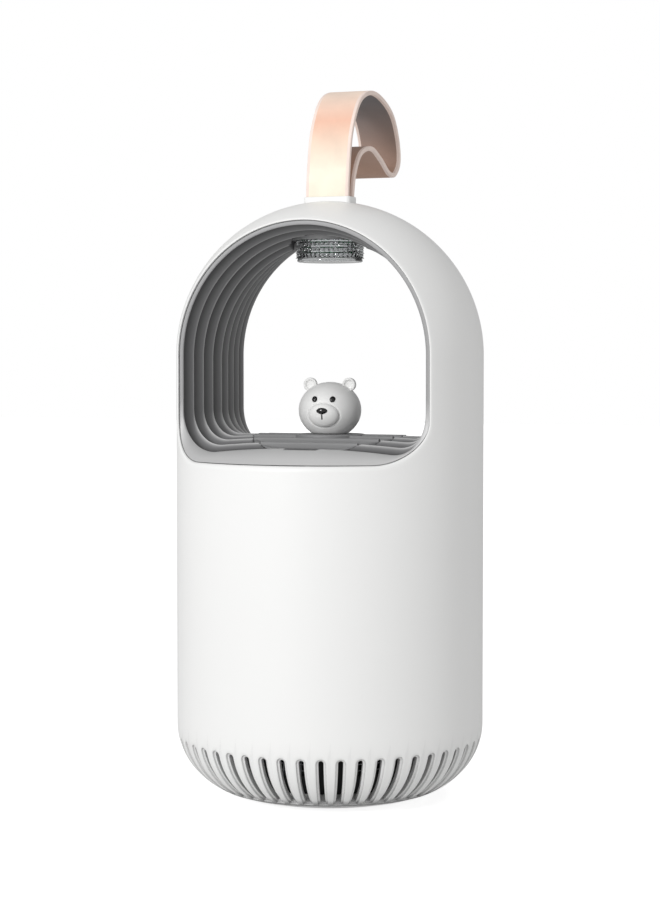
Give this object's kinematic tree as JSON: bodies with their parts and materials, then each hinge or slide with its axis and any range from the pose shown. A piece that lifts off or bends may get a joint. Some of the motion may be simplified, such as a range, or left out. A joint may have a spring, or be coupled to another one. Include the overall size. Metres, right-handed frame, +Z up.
{
  "type": "electric bug zapper",
  "caption": "Capsule-shaped suction insect lamp with a terraced through tunnel, bear-head grille, slotted foot and leather strap.",
  "frame": {"origin": "centre of the foot, in the plane it stands on", "axes": "+Z up through the strap, -Y front (the side the head faces), +X to the right seen from the front; the tunnel runs along Y"},
  "size_m": [0.1198, 0.12, 0.2779],
  "materials": {
    "white_abs": "satin moulded",
    "bear_abs": "satin moulded",
    "grey_abs": "fine matt texture",
    "black_abs": "satin moulded",
    "strap_leather": "vegetable-tanned, matt",
    "clear_lens": "clear moulded prisms",
    "uv_led": "clear resin",
    "circuit_board": "solder mask",
    "steel": "plated",
    "bronze": "sintered",
    "mesh_steel": "woven wire",
    "lead_pvc": "matt",
    "foot_rubber": "matt"
  },
  "bodies": {
    "root": {"outer_shell": "white_abs", "strap_plate": "white_abs", "lamp_housing": "grey_abs", "bear_head": "bear_abs", "mid_deck": "white_abs", "tunnel_liner": "grey_abs", "intake_grille": "grey_abs", "carry_strap": "strap_leather", "strap_bar": "steel", "lamp_lens": "clear_lens", "led_board": "circuit_board", "bear_eye_left": "black_abs", "bear_eye_right": "black_abs", "bear_nose": "black_abs", "head_screw": "steel", "intake_duct": "black_abs", "fan_frame": "black_abs", "fan_motor": "steel", "fan_bearing": "bronze", "control_board": "circuit_board", "usb_socket": "steel", "push_switch": "black_abs", "lamp_lead": "lead_pvc", "uv_led_1": "uv_led", "uv_led_2": "uv_led", "uv_led_3": "uv_led", "uv_led_4": "uv_led", "uv_led_5": "uv_led", "uv_led_6": "uv_led", "bar_screw_1": "steel", "bar_screw_2": "steel", "fan_screw_1": "steel", "fan_screw_2": "steel", "fan_screw_3": "steel", "fan_screw_4": "steel", "deck_screw_1": "steel", "deck_screw_2": "steel", "deck_screw_3": "steel", "deck_screw_4": "steel"},
    "impeller": {"fan_impeller": "black_abs", "fan_shaft": "steel"},
    "button": {"power_button": "white_abs"},
    "tray": {"catch_tray": "black_abs", "tray_floor": "black_abs", "tray_mesh": "mesh_steel", "base_cover": "white_abs", "foot_ring": "foot_rubber"}
  },
  "joints": [
    {"name": "fan_spin", "type": "hinge", "parent": "root", "child": "impeller", "pos_m": [0, 0, 0.09], "axis": [0, 0, 1], "continuous": true},
    {"name": "button_press", "type": "slide", "parent": "root", "child": "button", "axis": [0, -1, 0], "range_m": [0, 0.0008], "stiffness_N_per_m": 400, "springref_m": -0.001},
    {"name": "tray_pull", "type": "slide", "parent": "root", "child": "tray", "axis": [0, 0, -1], "range_m": [0, 0.085]}
  ]
}
